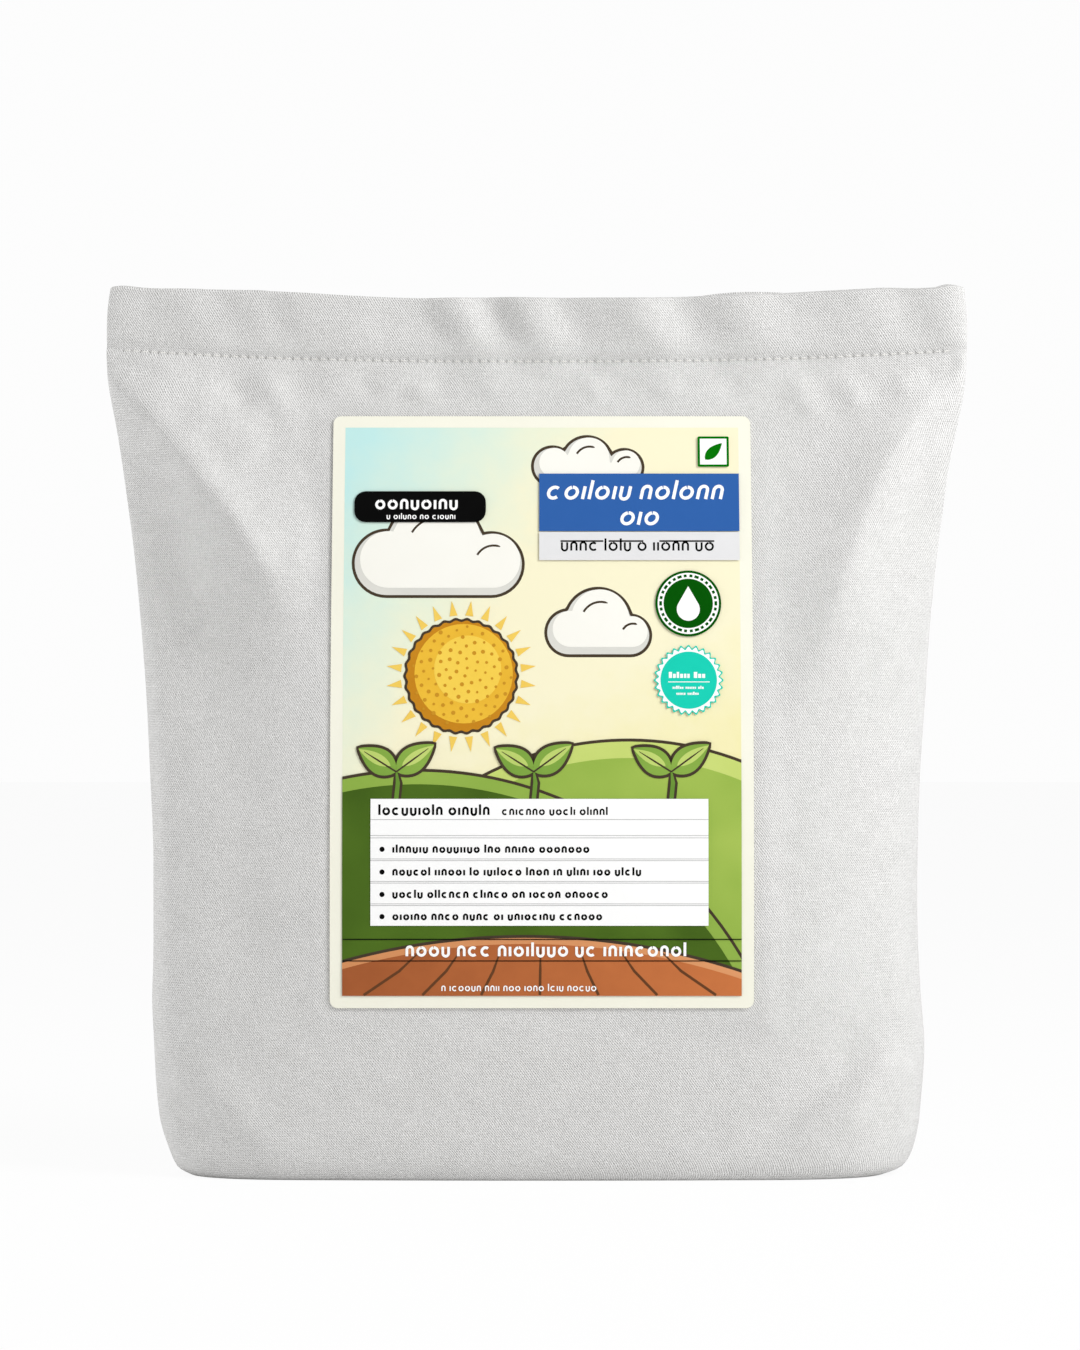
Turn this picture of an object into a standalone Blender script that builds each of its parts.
# A canvas bag of compost, filled, sewn shut across its mouth and standing on its base,
# with a printed paper label on its front.
# Metres, +Z up, the front faces -Y. The origin is the middle of the flat patch it stands on.

import math

import bmesh
import bpy
from mathutils import Vector

# Canvas bag, outside sizes
MOUTH_WIDTH = 0.3265  # across the sewn hem
SIDE_DRAW_IN = 0.0177  # the belly is narrower than the mouth by this on each side
BAG_HEIGHT = 0.3360  # floor to the two top corners
BELLY_HEIGHT = 0.1000  # where the bag is deepest
FRONT_BULGE = 0.0400  # belly, ahead of the side seams
BACK_BULGE = 0.0430  # belly, behind the side seams
BASE_NARROWING = 0.0040  # lost from the belly to the floor, front and back
BACK_FLAT = 0.0450  # half the width of the back's flat middle
LEFT_ROUNDNESS = 1.8  # at the belly: 2 gives an elliptical side, 1 a sharp crest and a flat flank
RIGHT_ROUNDNESS = 1.5  # from the belly up
CREST_ROUNDNESS = 1.25  # of the left side, where its crest is fully formed
CREST_TOP = 0.2400  # that height
FLOOR_ROUNDNESS = 2.5
FLARE_POWER = 2.1  # how late the sides widen towards the mouth
CREST_INSET = 0.0040  # at the mouth the flat front ends this far in from the side seam
CREST_FOOT = 0.1700  # and runs down to the label's side at this height

# Rounded heel between the floor and the walls
HEEL_HEIGHT = 0.0300
HEEL_SIDE_INSET = 0.0135
HEEL_FRONT_INSET = 0.0115

# Hem, mouth and closing seam
HEM_HEIGHT = 0.0240  # top edge down to the closing seam
MOUTH_SAG = 0.0045  # how far the mouth and its seam dip in their middle
LIP_THICKNESS = 0.0024  # three layers of canvas
LIP_GAP = 0.0012  # between the front and back hems
LIP_CHAMFER = 0.0008
SLIT_FLOOR = 0.0040  # the gap between the hems ends this far above the seam
SIDE_SEAM = 0.0045  # sewn-up width at each end of the mouth
SHOULDER_DROP = 0.0100  # full mouth width is reached this far below the seam
SEAM_GROOVE = 0.0010
GROOVE_HALF_WIDTH = 0.0022
RIPPLE_DEPTH = 0.0028  # side-to-side waves of the hem
LONG_RIPPLE = 0.0870
SHORT_RIPPLE = 0.0520

# Shallow folds that run down the flanks from the top corners
FOLD_DEPTH = 0.0045
FOLD_WIDTH = 0.0110
FOLD_TOP_INSET = 0.0160  # start of the fold, in from the side of the mouth
FOLD_TOP_DROP = 0.0260  # and down from the closing seam
FOLD_FOOT_INSET = 0.0300  # end of the fold, in from the side of the belly
FOLD_FOOT_RISE = 0.0300  # and up from the belly
FOLD_FAINTNESS = 0.2  # the front's right fold shows only this share of the depth
RIDGE_HEIGHT = 0.0080  # soft ridge from the front's left top corner to the label's side
RIDGE_WIDTH = 0.0150
RIDGE_TOP_OVERRUN = 0.0030  # its line starts this far outside the mouth
RIDGE_TOP_DROP = 0.0140  # and this far below the top corner
RIDGE_FOOT_RISE = 0.0360  # and ends this far above the foot of the crest

# Closing stitch thread
THREAD_RADIUS = 0.00035
THREAD_END = 0.0100  # the stitching starts and stops this far in from the sides
THREAD_GAP = 0.0003

# Label, a printed card that fills the front between its margins
LABEL_SIDE_MARGIN = 0.0669  # in from the side of the belly
LABEL_BOTTOM = 0.0650  # above the floor
LABEL_DROP = 0.0260  # below the closing seam
LABEL_SHIFT = 0.0018  # to the right of the bag's middle
LABEL_CORNER = 0.0030
LABEL_BORDER = 0.0046  # bare card around the print
CANVAS_MARGIN = 0.0030  # flat canvas beside the label
CARD_THICKNESS = 0.0004
CARD_GAP = 0.0003  # glue line between canvas and card
INK_THICKNESS = 0.00015
INK_GAP = 0.0001

# Resolution
ROUND_COLUMNS = 14
FLAT_COLUMNS = 28
HEEL_ROWS = 5
LOWER_ROWS = 3
LABEL_STRIPS = 16
NECK_ROWS = 4
HEM_ROWS = 3

# The artwork is drawn on a grid of this many units
ART_COLUMNS = 148
ART_ROWS = 210

BELLY_WIDTH = MOUTH_WIDTH - 2 * SIDE_DRAW_IN
FLOOR_WIDTH = BELLY_WIDTH - 2 * HEEL_SIDE_INSET
SEAM_HEIGHT = BAG_HEIGHT - HEM_HEIGHT
SHOULDER_HEIGHT = SEAM_HEIGHT - SHOULDER_DROP
GROOVE_FOOT = SEAM_HEIGHT - GROOVE_HALF_WIDTH
GROOVE_TOP = SEAM_HEIGHT + GROOVE_HALF_WIDTH
LABEL_TOP = SEAM_HEIGHT - LABEL_DROP
LABEL_WIDTH = BELLY_WIDTH - 2 * LABEL_SIDE_MARGIN
FRONT_FLAT = LABEL_WIDTH / 2 + abs(LABEL_SHIFT) + CANVAS_MARGIN
MOUTH_FLAT = MOUTH_WIDTH / 2 - SIDE_SEAM - CREST_INSET
SEAM_HALF_DEPTH = LIP_THICKNESS
LIP_HALF_DEPTH = LIP_THICKNESS + LIP_GAP / 2

COLOURS = {
    "canvas": (0.70, 0.69, 0.66),
    "thread": (0.62, 0.61, 0.57),
    "card": (0.90, 0.88, 0.76),
    "sky": (0.94, 0.90, 0.68),
    "pale_blue": (0.53, 0.80, 0.78),
    "pale_gold": (0.88, 0.76, 0.36),
    "gold": (0.76, 0.40, 0.03),
    "cloud": (0.91, 0.90, 0.82),
    "light_green": (0.45, 0.60, 0.11),
    "dark_green": (0.08, 0.15, 0.02),
    "terracotta": (0.52, 0.16, 0.05),
    "leaf_green": (0.14, 0.34, 0.05),
    "blue": (0.03, 0.12, 0.40),
    "grey": (0.74, 0.73, 0.74),
    "black": (0.01, 0.01, 0.01),
    "badge_green": (0.005, 0.09, 0.005),
    "white": (0.95, 0.95, 0.95),
    "teal": (0.03, 0.64, 0.48),
}


def clear_scene():
    for obj in list(bpy.data.objects):
        bpy.data.objects.remove(obj)


def make_material(name, roughness):
    material = bpy.data.materials.new(name)
    material.use_nodes = True
    shader = material.node_tree.nodes["Principled BSDF"]
    shader.inputs["Base Color"].default_value = (*COLOURS[name], 1.0)
    shader.inputs["Roughness"].default_value = roughness
    shader.inputs["Metallic"].default_value = 0.0
    return material


def add_object(name, data, material, collection):
    obj = bpy.data.objects.new(name, data)
    obj.data.materials.append(material)
    collection.objects.link(obj)
    return obj


def smooth_step(value):
    value = min(1.0, max(0.0, value))
    return value * value * (3 - 2 * value)


# The bag's sections, as functions of height


def heel_share(height):
    """0 at the floor and 1 above the heel, along a quarter of an ellipse."""
    drop = max(0.0, HEEL_HEIGHT - height) / HEEL_HEIGHT
    return math.sqrt(max(0.0, 1 - drop * drop))


def half_width(height):
    if height < HEEL_HEIGHT:
        return (FLOOR_WIDTH + (BELLY_WIDTH - FLOOR_WIDTH) * heel_share(height)) / 2
    rise = (height - BELLY_HEIGHT) / (SHOULDER_HEIGHT - BELLY_HEIGHT)
    rise = min(1.0, max(0.0, rise))
    return (BELLY_WIDTH + (MOUTH_WIDTH - BELLY_WIDTH) * rise**FLARE_POWER) / 2


def half_depth(height, bulge):
    """Depth of one side at its middle: a bulge that closes to the seam's own thickness."""
    if height >= GROOVE_FOOT:
        share = smooth_step((height - SEAM_HEIGHT) / (HEM_HEIGHT / 3))
        return SEAM_HALF_DEPTH + (LIP_HALF_DEPTH - SEAM_HALF_DEPTH) * share
    if height < BELLY_HEIGHT:
        depth = bulge - BASE_NARROWING * (1 - height / BELLY_HEIGHT) ** 2
        return depth - HEEL_FRONT_INSET * (1 - heel_share(height))
    rise = (height - BELLY_HEIGHT) / (GROOVE_FOOT - BELLY_HEIGHT)
    return SEAM_HALF_DEPTH + (bulge - SEAM_HALF_DEPTH) * (1 - rise * rise) ** 1.1


def front_depth(height):
    return half_depth(height, FRONT_BULGE)


def flat_half_width(height, flat):
    """Half the width of a flat middle, which widens upwards to almost the mouth's width."""
    rise = (height - CREST_FOOT) / (SEAM_HEIGHT - CREST_FOOT)
    return flat + (MOUTH_FLAT - flat) * min(1.0, max(0.0, rise)) ** 1.4


def roundness(height, right):
    belly = RIGHT_ROUNDNESS if right else LEFT_ROUNDNESS
    if height < BELLY_HEIGHT:
        return belly + (FLOOR_ROUNDNESS - belly) * (1 - height / BELLY_HEIGHT) ** 1.6
    crest = RIGHT_ROUNDNESS if right else CREST_ROUNDNESS
    rise = smooth_step((height - BELLY_HEIGHT) / (CREST_TOP - BELLY_HEIGHT))
    return belly + (crest - belly) * rise


def across(index, side, flat, height):
    """Place along one side of a section: its x, and its share of the full depth there."""
    columns = 2 * ROUND_COLUMNS + FLAT_COLUMNS
    mirrored = index > columns / 2
    step = columns - index if mirrored else index
    if step >= ROUND_COLUMNS:
        x = -flat + 2 * flat * (step - ROUND_COLUMNS) / FLAT_COLUMNS
        share = 1.0
    else:
        turn = math.pi / 2 * step / ROUND_COLUMNS
        power = 2 / roundness(height, mirrored)
        x = -flat - (side - flat) * max(0.0, math.cos(turn)) ** power
        share = math.sin(turn) ** power
    return (-x if mirrored else x), share


def sag(x, height):
    """How far the mouth dips at x. Nothing dips below the label's top."""
    share = smooth_step((height - LABEL_TOP) / (SEAM_HEIGHT - LABEL_TOP))
    return share * MOUTH_SAG * (1 - min(1.0, abs(2 * x / MOUTH_WIDTH)) ** 2.5)


def ripple(x, height):
    """Side-to-side wave of the hem, dying out at the label's top and at its two ends."""
    fade = smooth_step((height - LABEL_TOP) / (BAG_HEIGHT - LABEL_TOP))
    ends = 1 - min(1.0, abs(2 * x / MOUTH_WIDTH)) ** 4
    long_wave = math.sin(2 * math.pi * x / LONG_RIPPLE + 0.6)
    short_wave = math.sin(2 * math.pi * x / SHORT_RIPPLE + 2.1)
    return RIPPLE_DEPTH * fade * ends * (0.6 * long_wave + 0.4 * short_wave)


def beside_line(x, height, start, foot, width):
    """1 on the middle of a line, fading to 0 at its two ends and away from it."""
    along = foot - start
    offset = Vector((x, height)) - start
    place = offset.dot(along) / along.length_squared
    if not 0 < place < 1:
        return 0.0
    away = (offset - along * place).length
    return math.sin(math.pi * place) * math.exp(-((away / width) ** 2))


def clear_of_label(x):
    return smooth_step((abs(x) - FRONT_FLAT) / FOLD_WIDTH)


def corner_fold(x, height, front):
    """Depth of the fold that runs down a flank from a top corner."""
    start = Vector((MOUTH_WIDTH / 2 - FOLD_TOP_INSET, SEAM_HEIGHT - FOLD_TOP_DROP))
    foot = Vector((BELLY_WIDTH / 2 - FOLD_FOOT_INSET, BELLY_HEIGHT + FOLD_FOOT_RISE))
    depth = FOLD_DEPTH * (FOLD_FAINTNESS if front and x > 0 else 1.0)
    return depth * clear_of_label(x) * beside_line(abs(x), height, start, foot, FOLD_WIDTH)


def corner_ridge(x, height, front):
    """Height of the soft ridge below the front's left top corner."""
    if not front or x > 0:
        return 0.0
    start = Vector((-MOUTH_WIDTH / 2 - RIDGE_TOP_OVERRUN, BAG_HEIGHT - RIDGE_TOP_DROP))
    foot = Vector((-FRONT_FLAT, CREST_FOOT + RIDGE_FOOT_RISE))
    below_seam = 1 - smooth_step((height - SHOULDER_HEIGHT) / (GROOVE_FOOT - SHOULDER_HEIGHT))
    fade = clear_of_label(x) * below_seam
    return RIDGE_HEIGHT * fade * beside_line(x, height, start, foot, RIDGE_WIDTH)


def outer_point(index, height, front, inset=0.0):
    """A point of the outer skin. Inset thins it towards the middle plane."""
    bulge = FRONT_BULGE if front else BACK_BULGE
    flat = flat_half_width(height, FRONT_FLAT if front else BACK_FLAT)
    x, share = across(index, half_width(height), flat, height)
    depth = max(0.0, (half_depth(height, bulge) - inset) * share)
    depth -= min(depth / 2, corner_fold(x, height, front) * share)
    depth += corner_ridge(x, height, front) * share
    middle = ripple(x, height)
    return Vector((x, middle - depth if front else middle + depth, height - sag(x, height)))


def slit_point(index, height, front, flare=0.0):
    """A point of the narrow slit between the front and back hems."""
    x, share = across(index, MOUTH_WIDTH / 2 - SIDE_SEAM, MOUTH_FLAT, height)
    depth = (LIP_GAP / 2 + flare) * share
    middle = ripple(x, height)
    return Vector((x, middle - depth if front else middle + depth, height - sag(x, height)))


# Rows of the bag, and the strips of the label that lie on them


def between(low, high, count):
    """Heights from low up to high, without low itself."""
    return [low + (high - low) * (k + 1) / count for k in range(count)]


LEVELS = [LABEL_BOTTOM] + between(LABEL_BOTTOM, LABEL_TOP, LABEL_STRIPS)


def body_rows():
    """Height and groove inset of each ring of the outer skin, from the floor up."""
    turns = [math.pi / 2 * k / HEEL_ROWS for k in range(HEEL_ROWS + 1)]
    rows = [(HEEL_HEIGHT * (1 - math.cos(turn)), 0.0) for turn in turns]
    rows += [(z, 0.0) for z in between(HEEL_HEIGHT, LABEL_BOTTOM, LOWER_ROWS)]
    rows += [(z, 0.0) for z in LEVELS[1:]]
    rows += [(z, 0.0) for z in between(LABEL_TOP, GROOVE_FOOT, NECK_ROWS)]
    rows += [(SEAM_HEIGHT, SEAM_GROOVE), (GROOVE_TOP, 0.0)]
    rows += [(z, 0.0) for z in between(GROOVE_TOP, BAG_HEIGHT - LIP_CHAMFER, HEM_ROWS)]
    rows += [(BAG_HEIGHT, LIP_CHAMFER)]
    return rows


def slit_rows():
    """Height and flare of each ring inside the slit, from the top edge down."""
    floor = SEAM_HEIGHT + SLIT_FLOOR
    return [(BAG_HEIGHT, LIP_CHAMFER), (BAG_HEIGHT - LIP_CHAMFER, 0.0), (floor, 0.0)]


def closed_ring(point_at):
    """Front points from left to right, then back points from right to left."""
    columns = 2 * ROUND_COLUMNS + FLAT_COLUMNS
    front = [point_at(k, True) for k in range(columns + 1)]
    back = [point_at(k, False) for k in range(columns - 1, 0, -1)]
    return front + back


def close_slit(mesh, ring):
    """The slit's floor: a strip between the facing points of its last ring."""
    half = len(ring) // 2
    for k in range(half):
        corners = [ring[k], ring[k + 1], ring[-(k + 1)], ring[-k]]
        mesh.faces.new(list(dict.fromkeys(corners)))


def build_bag(collection):
    """One closed skin: up the outside, over the two hems and down to the slit's floor."""
    mesh = bmesh.new()
    rings = []
    for height, inset in body_rows():
        points = closed_ring(lambda k, front: outer_point(k, height, front, inset))
        rings.append([mesh.verts.new(point) for point in points])
    for height, flare in slit_rows():
        points = closed_ring(lambda k, front: slit_point(k, height, front, flare))
        rings.append([mesh.verts.new(point) for point in points])
    count = len(rings[0])
    for lower, upper in zip(rings, rings[1:]):
        for k in range(count):
            after = (k + 1) % count
            mesh.faces.new((lower[k], lower[after], upper[after], upper[k]))
    mesh.faces.new(reversed(rings[0]))
    close_slit(mesh, rings[-1])
    bmesh.ops.recalc_face_normals(mesh, faces=mesh.faces)
    data = bpy.data.meshes.new("bag_body")
    mesh.to_mesh(data)
    mesh.free()
    data.shade_smooth()
    return add_object("bag_body", data, make_material("canvas", 0.9), collection)


def build_thread(name, front, material, collection):
    """The closing stitch's thread, lying in the seam's groove on one face of the bag."""
    columns = 2 * ROUND_COLUMNS + FLAT_COLUMNS
    lift = THREAD_GAP + THREAD_RADIUS
    away = Vector((0, -lift if front else lift, 0))
    reach = MOUTH_WIDTH / 2 - THREAD_END
    points = [outer_point(k, SEAM_HEIGHT, front, SEAM_GROOVE) for k in range(columns + 1)]
    points = [point + away for point in points if abs(point.x) < reach]
    curve = bpy.data.curves.new(name, "CURVE")
    curve.dimensions = "3D"
    curve.bevel_depth = THREAD_RADIUS
    curve.bevel_resolution = 0
    curve.use_fill_caps = True
    spline = curve.splines.new("POLY")
    spline.points.add(len(points) - 1)
    for target, point in zip(spline.points, points):
        target.co = (*point, 1.0)
    return add_object(name, curve, material, collection)


# Label pieces, cut from flat outlines and laid on the front's strips


def level_place(level):
    """Where a level meets the front's surface, as y and z."""
    return Vector((-front_depth(LEVELS[level]), LEVELS[level]))


STRIP_LENGTHS = [(level_place(k + 1) - level_place(k)).length for k in range(LABEL_STRIPS)]
LABEL_HEIGHT = sum(STRIP_LENGTHS)
STRIP_STARTS = [sum(STRIP_LENGTHS[:k]) for k in range(LABEL_STRIPS + 1)]
PRINT_WIDTH = LABEL_WIDTH - 2 * LABEL_BORDER
PRINT_HEIGHT = LABEL_HEIGHT - 2 * LABEL_BORDER


def strip_normal(index):
    """Outward normal of one strip, in the plane of y and z."""
    along = (level_place(index + 1) - level_place(index)).normalized()
    return Vector((-along.y, along.x))


def level_point(level, lift):
    """The profile's corner at this level, moved out by the lift along both strips."""
    below = strip_normal(max(0, level - 1))
    above = strip_normal(min(LABEL_STRIPS - 1, level))
    mitre = (below + above).normalized()
    return level_place(level) + mitre * (lift / mitre.dot(below))


def on_label(u, s, lift):
    """A point u across and s up the label, at this lift above the canvas."""
    strip = sum(1 for start in STRIP_STARTS[1:-1] if s > start + STRIP_LENGTHS[0] * 1e-4)
    share = (s - STRIP_STARTS[strip]) / STRIP_LENGTHS[strip]
    low, high = level_point(strip, lift), level_point(strip + 1, lift)
    place = low.lerp(high, share)
    return Vector((LABEL_SHIFT + u, place.x, place.y))


def snapped(s):
    """Moves an outline's point that almost lies on a bend onto it."""
    near = [start for start in STRIP_STARTS if abs(start - s) < STRIP_LENGTHS[0] / 60]
    return near[0] if near else s


def build_plate(name, outline, lift, thickness, material, collection):
    """A thin plate with this outline, bent over the strips of the bag's front."""
    mesh = bmesh.new()
    corners = [mesh.verts.new((u, snapped(s), 0)) for u, s in outline]
    mesh.faces.new(corners)
    for start in STRIP_STARTS[1:-1]:
        everything = mesh.verts[:] + mesh.edges[:] + mesh.faces[:]
        bmesh.ops.bisect_plane(
            mesh, geom=everything, dist=1e-6, plane_co=(0, start, 0), plane_no=(0, 1, 0)
        )
    raised = bmesh.ops.extrude_face_region(mesh, geom=mesh.faces[:], use_keep_orig=True)
    for item in raised["geom"]:
        if isinstance(item, bmesh.types.BMVert):
            item.co.z = 1
    for vert in mesh.verts:
        vert.co = on_label(vert.co.x, vert.co.y, lift + thickness * vert.co.z)
    bmesh.ops.recalc_face_normals(mesh, faces=mesh.faces)
    data = bpy.data.meshes.new(name)
    mesh.to_mesh(data)
    mesh.free()
    return add_object(name, data, material, collection)


# Flat outlines, as lists of (across, up) points


def rectangle(left, bottom, right, top):
    return [(left, bottom), (right, bottom), (right, top), (left, top)]


def arc(centre, radius, start, end, steps):
    points = []
    for k in range(steps + 1):
        turn = math.radians(start + (end - start) * k / steps)
        points.append((centre[0] + radius * math.cos(turn), centre[1] + radius * math.sin(turn)))
    return points


def rounded_rectangle(left, bottom, right, top, radius, steps=4):
    points = arc((right - radius, bottom + radius), radius, -90, 0, steps)
    points += arc((right - radius, top - radius), radius, 0, 90, steps)
    points += arc((left + radius, top - radius), radius, 90, 180, steps)
    points += arc((left + radius, bottom + radius), radius, 180, 270, steps)
    return points


def disc(centre, radius, steps=36):
    return arc(centre, radius, 0, 360, steps)[:-1]


def scalloped(centre, radius, lobes, depth, steps=6):
    points = []
    for k in range(lobes * steps):
        turn = 2 * math.pi * k / (lobes * steps)
        reach = radius - depth * (0.5 - 0.5 * math.cos(lobes * turn))
        points.append((centre[0] + reach * math.cos(turn), centre[1] + reach * math.sin(turn)))
    return points


def cloud(base, lobes, steps=30):
    """Round lobes on a flat base. A lobe is (across, radius)."""
    left = min(u - radius for u, radius in lobes)
    right = max(u + radius for u, radius in lobes)
    first, last = lobes[0], lobes[-1]
    points = arc((first[0], base + first[1]), first[1], 180, 270, 6)
    points += arc((last[0], base + last[1]), last[1], 270, 360, 6)
    for k in range(1, steps):
        u = (left + right) / 2 + (right - left) / 2 * math.cos(math.pi * k / steps)
        near = [(c, r) for c, r in lobes if abs(u - c) < r]
        tops = [base + r + math.sqrt(r * r - (u - c) ** 2) for c, r in near]
        points.append((u, max(tops)))
    return points


def hill(bottom, peak, radius, steps=18):
    """Ground across the whole print with a round top, whose highest point is the peak."""
    points = [(0, bottom), (ART_COLUMNS, bottom)]
    for k in range(steps + 1):
        u = ART_COLUMNS * (1 - k / steps)
        points.append((u, peak[1] - radius + math.sqrt(radius**2 - (u - peak[0]) ** 2)))
    return points


def seedling(foot, height, spread, stem):
    """A short stem with two round-bellied leaves that point up and outwards."""
    fork = foot[1] + height * 0.45
    rise = height * 0.55
    swell = height * 0.20

    def leaf_edge(side, bow, steps=7):
        points = []
        for k in range(1, steps):
            share = k / steps
            out = bow * math.sin(math.pi * share) ** 0.8
            u = stem / 2 + (spread - stem / 2) * share - out * 0.45
            points.append((foot[0] + side * u, fork + rise * share + out * 0.9))
        return points

    points = [(foot[0] + stem / 2, foot[1]), (foot[0] + stem / 2, fork)]
    points += leaf_edge(1, -swell) + [(foot[0] + spread, fork + rise)]
    points += leaf_edge(1, swell)[::-1] + [(foot[0], fork + stem)]
    points += leaf_edge(-1, swell) + [(foot[0] - spread, fork + rise)]
    points += leaf_edge(-1, -swell)[::-1]
    points += [(foot[0] - stem / 2, fork), (foot[0] - stem / 2, foot[1])]
    return points


def print_fields():
    """Each colour field of the print: its name, outline, colour and layer above the card."""
    sky_corner = [(0, 96), *arc((0, 210), 62, -62, 0, 14)[::1], (0, 210)]
    plate = rounded_rectangle(3.5, 173.5, 53, 185.5, 3.5)
    mark = rounded_rectangle(132.5, 194.5, 144.5, 206.5, 1.5)
    fields = [
        ("print_sky", rectangle(0, 0, ART_COLUMNS, ART_ROWS), "sky", 0),
        ("print_sky_corner", sky_corner, "pale_blue", 1),
        ("print_cloud_left", cloud(146, [(16, 12), (34, 18), (55, 11.5)]), "cloud", 2),
        ("print_cloud_top", cloud(188, [(78, 7), (91, 9), (105, 6.5)]), "cloud", 1),
        ("print_cloud_right", cloud(124, [(84, 8), (95, 12), (107, 7)]), "cloud", 1),
        ("print_sun_halo", disc((44, 116), 27), "pale_gold", 2),
        ("print_sun", disc((44, 116), 20), "gold", 3),
        ("print_hill_back", hill(5, (106, 92), 118), "light_green", 1),
        ("print_hill_front", hill(5, (28, 81), 140), "dark_green", 2),
        ("print_field", hill(0, (68, 21), 260), "terracotta", 3),
        ("print_title_band", rectangle(73, 170, ART_COLUMNS, 192), "blue", 3),
        ("print_subtitle_band", rectangle(73, 159, ART_COLUMNS, 169.7), "grey", 3),
        ("print_dark_plate", plate, "black", 3),
        ("print_corner_mark", mark, "badge_green", 3),
        ("print_round_badge", disc((128.5, 143.5), 12.2), "badge_green", 3),
        ("print_seal_rim", scalloped((128.5, 114.5), 13, 20, 1.2), "white", 3),
        ("print_seal_disc", disc((128.5, 114.5), 10.4), "teal", 4),
        ("print_text_panel", rectangle(10.5, 25, 135.7, 71), "white", 3),
    ]
    for name, u in (("left", 20), ("middle", 71), ("right", 122)):
        fields.append((f"print_seedling_{name}", seedling((u, 71.4), 20, 13, 2.2), "leaf_green", 3))
    return fields


def on_print(outline):
    """The artwork's grid units as places on the label."""
    unit_across = PRINT_WIDTH / ART_COLUMNS
    unit_up = PRINT_HEIGHT / ART_ROWS
    left = -PRINT_WIDTH / 2
    return [(left + u * unit_across, LABEL_BORDER + s * unit_up) for u, s in outline]


def build_label(collection):
    half = LABEL_WIDTH / 2
    outline = rounded_rectangle(-half, 0, half, LABEL_HEIGHT, LABEL_CORNER)
    card = make_material("card", 0.7)
    build_plate("label_card", outline, CARD_GAP, CARD_THICKNESS, card, collection)
    materials = {}
    for name, outline, colour, layer in print_fields():
        if colour not in materials:
            materials[colour] = make_material(colour, 0.6)
        lift = CARD_GAP + CARD_THICKNESS + INK_GAP + layer * (INK_THICKNESS + INK_GAP)
        build_plate(name, on_print(outline), lift, INK_THICKNESS, materials[colour], collection)


def main():
    clear_scene()
    collection = bpy.data.collections.new("compost_bag")
    bpy.context.scene.collection.children.link(collection)
    build_bag(collection)
    thread = make_material("thread", 0.8)
    build_thread("closing_stitch_front", True, thread, collection)
    build_thread("closing_stitch_back", False, thread, collection)
    build_label(collection)


main()
